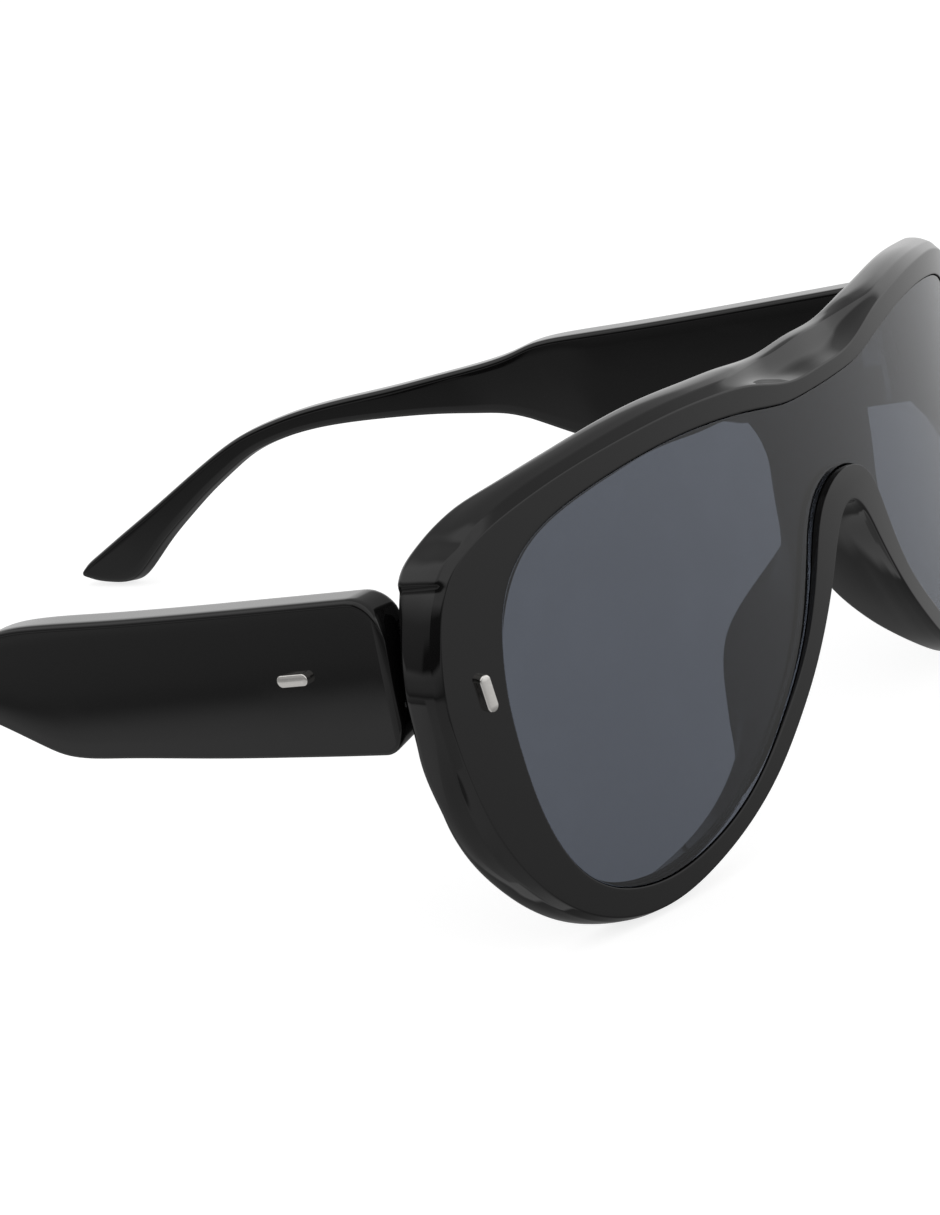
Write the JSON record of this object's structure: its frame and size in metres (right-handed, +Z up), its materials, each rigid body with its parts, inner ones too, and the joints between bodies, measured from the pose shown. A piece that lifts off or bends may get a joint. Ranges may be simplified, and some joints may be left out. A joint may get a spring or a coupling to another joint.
{
  "type": "sunglasses",
  "caption": "Wraparound shield sunglasses: a smoke lens inset in a thick glossy frame with moulded nose pads, wide folding temples and pill-shaped metal plaques.",
  "frame": {"origin": "middle of the footprint, on the ground that the rims and temple tips rest on", "axes": "+Z up, +X towards the wearer's left, -Y the way the wearer looks"},
  "size_m": [0.1354, 0.1612, 0.055],
  "materials": {
    "frame_plastic": "polished black",
    "smoke_lens": "polished smoke tint",
    "bonding_film": "matt dark film",
    "hinge_steel": "satin steel",
    "polished_metal": "polished silver"
  },
  "bodies": {
    "front": {"front_frame": "frame_plastic", "shield_lens": "smoke_lens", "lens_bonding_strip": "bonding_film", "front_hinge_leaf_right": "hinge_steel", "hinge_screw_right": "hinge_steel", "front_rivet_plaque_right": "polished_metal", "front_hinge_leaf_left": "hinge_steel", "hinge_screw_left": "hinge_steel", "front_rivet_plaque_left": "polished_metal"},
    "right_temple": {"temple_right": "frame_plastic", "temple_core_wire_right": "hinge_steel", "temple_hinge_leaf_right": "hinge_steel", "temple_rivet_plaque_right": "polished_metal"},
    "left_temple": {"temple_left": "frame_plastic", "temple_core_wire_left": "hinge_steel", "temple_hinge_leaf_left": "hinge_steel", "temple_rivet_plaque_left": "polished_metal"}
  },
  "joints": [
    {"name": "right_temple_fold", "type": "hinge", "parent": "front", "child": "right_temple", "pos_m": [-0.062, -0.05852, 0.0368], "axis": [0, -0.0479, -0.9989], "range_deg": [0, 70]},
    {"name": "left_temple_fold", "type": "hinge", "parent": "front", "child": "left_temple", "pos_m": [0.062, -0.05852, 0.0368], "axis": [0, 0.0479, 0.9989], "range_deg": [0, 87]}
  ]
}
